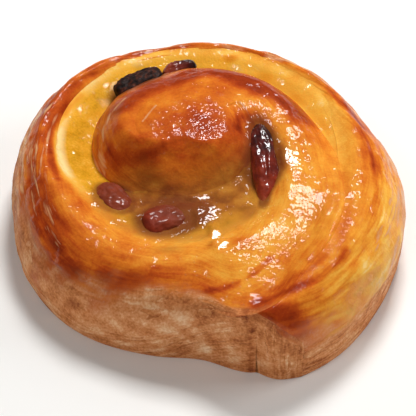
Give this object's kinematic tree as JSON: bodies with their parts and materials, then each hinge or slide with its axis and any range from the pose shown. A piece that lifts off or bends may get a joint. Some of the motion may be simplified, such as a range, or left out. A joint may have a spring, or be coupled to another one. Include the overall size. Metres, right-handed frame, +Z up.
{
  "type": "pain aux raisins",
  "caption": "Small glazed spiral pastry: laminated dough wound round a channel of custard, with raisins sunk into the channel and a slanted tail end.",
  "frame": {"origin": "on the table under the middle of the pastry's outline, seen from above", "axes": "+Z up, the pastry's shortest extent; -Y towards the tail's end and the picture's viewer, +X to the viewer's right"},
  "size_m": [0.0802, 0.0836, 0.0248],
  "materials": {
    "baked_dough": "egg-washed laminated dough baked golden orange to red brown, under a thin clear apricot glaze; paler tan side wall",
    "custard": "baked pastry cream, golden yellow, wet and slightly grainy under the glaze",
    "raisin": "wrinkled raisin, dark purple brown, reddish where it is thin, glossy with glaze",
    "burnt_raisin": "raisin scorched nearly black in the oven, dull and rough"
  },
  "bodies": {
    "root": {"dough": "baked_dough", "custard": "custard", "raisin_groove": "raisin", "raisin_pit_front": "raisin", "raisin_pit_left": "raisin", "raisin_back": "raisin", "raisin_burnt": "burnt_raisin"}
  },
  "joints": []
}
